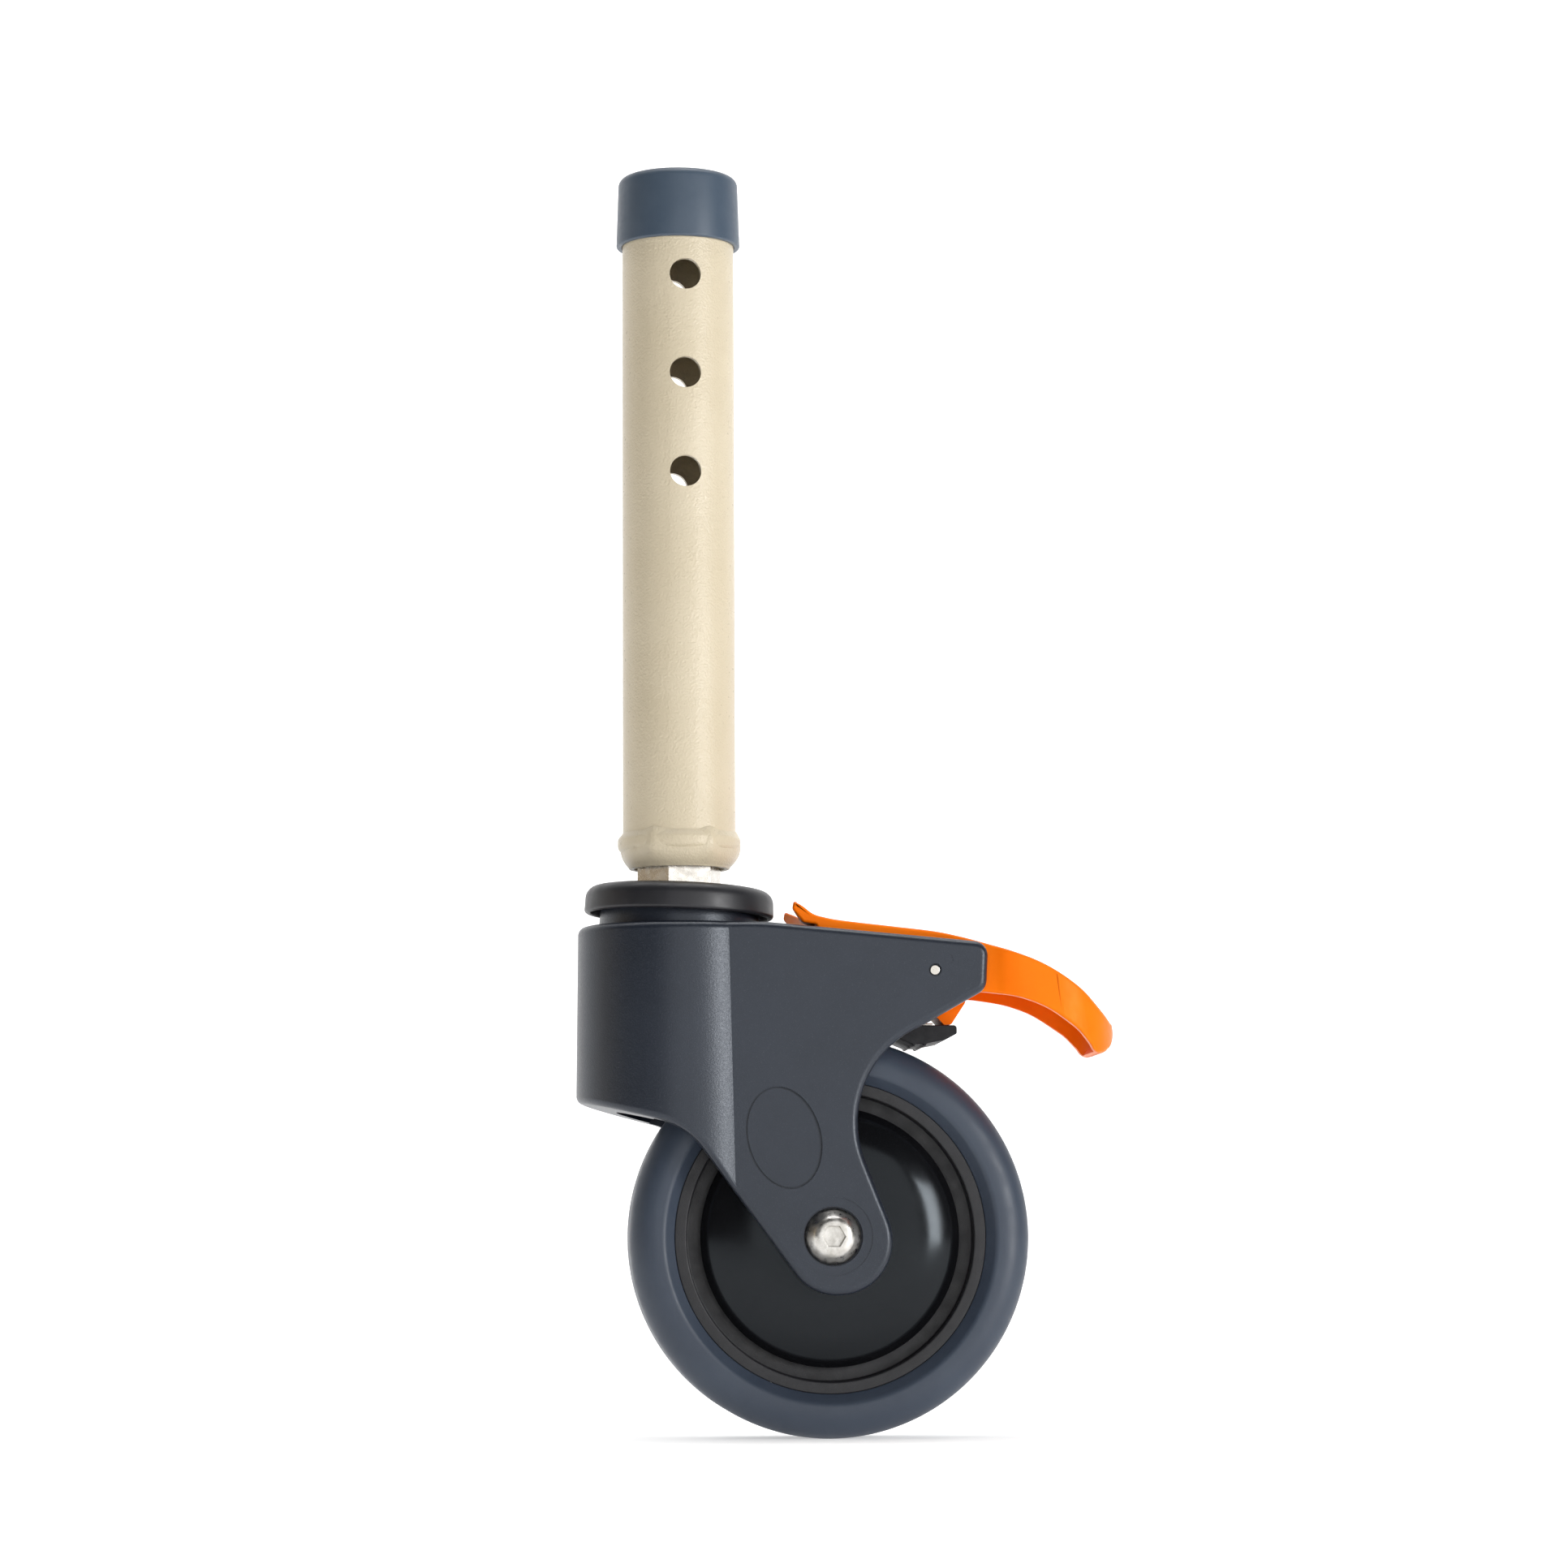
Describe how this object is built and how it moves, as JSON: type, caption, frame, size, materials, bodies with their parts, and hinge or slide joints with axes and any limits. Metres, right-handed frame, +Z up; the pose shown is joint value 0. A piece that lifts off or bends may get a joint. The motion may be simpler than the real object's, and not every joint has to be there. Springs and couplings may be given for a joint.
{
  "type": "swivel castor",
  "caption": "Swivel castor with a round drilled tube stem, a moulded plastic fork, a rubber-tyred wheel on ball bearings and a foot brake pedal.",
  "frame": {"origin": "centre of the lowest cross hole of the stem tube, on the swivel axis", "axes": "+Z up along the swivel axis, +X from the swivel axis towards the wheel, +Y away from the bolt head's side"},
  "size_m": [0.1359, 0.0569, 0.3217],
  "materials": {
    "powder_coat": "fine orange-peel powder coat, satin",
    "cap_plastic": "moulded plastic, semi-gloss",
    "cover_plastic": "moulded plastic, smooth satin",
    "fork_plastic": "glass-filled nylon with a fine grain",
    "bright_steel": "zinc plated",
    "stainless": "plain stainless, slightly dull",
    "bearing_steel": "ground",
    "tyre_rubber": "smooth rubber, satin",
    "rim_plastic": "fine textured nylon",
    "gloss_cover": "polished moulding",
    "pedal_plastic": "satin moulded nylon",
    "shoe_plastic": "moulded, dull"
  },
  "bodies": {
    "stem": {"stem_tube": "powder_coat", "tube_cap": "cap_plastic", "foot_plug": "powder_coat", "swivel_stem": "bright_steel", "dust_cover": "cover_plastic", "upper_inner_race": "bearing_steel", "lower_inner_race": "bearing_steel", "race_spacer": "bearing_steel", "stem_washer": "bright_steel", "stem_nut": "bright_steel"},
    "fork": {"fork": "fork_plastic", "upper_outer_race": "bearing_steel", "lower_outer_race": "bearing_steel", "swivel_balls": "bearing_steel", "axle_bolt": "stainless", "axle_washer": "stainless", "axle_nut": "stainless", "axle_sleeve": "bright_steel", "wheel_inner_races": "bearing_steel", "pedal_pin": "bright_steel", "lever_pin": "bright_steel"},
    "wheel": {"tyre": "tyre_rubber", "wheel_rim": "rim_plastic", "near_hub_cover": "gloss_cover", "far_hub_cover": "gloss_cover", "wheel_outer_races": "bearing_steel", "wheel_balls": "bearing_steel"},
    "pedal": {"brake_pedal": "pedal_plastic"},
    "lever": {"brake_lever": "bright_steel", "brake_shoe": "shoe_plastic"}
  },
  "joints": [
    {"name": "swivel", "type": "hinge", "parent": "stem", "child": "fork", "pos_m": [0, 0, -0.1332], "axis": [0, 0, 1], "continuous": true},
    {"name": "wheel_spin", "type": "hinge", "parent": "fork", "child": "wheel", "pos_m": [0.037, 0, -0.1932], "axis": [0, 1, 0], "continuous": true},
    {"name": "pedal_tilt", "type": "hinge", "parent": "fork", "child": "pedal", "pos_m": [0.0628, 0, -0.1272], "axis": [0, 1, 0], "range_deg": [0, 22]},
    {"name": "lever_tilt", "type": "hinge", "parent": "fork", "child": "lever", "pos_m": [0.042, 0, -0.1332], "axis": [0, 1, 0], "range_deg": [0, 4.4]}
  ],
  "couplings": [
    {"joint": "lever_tilt", "follows": "pedal_tilt", "ratio": 0.2}
  ]
}
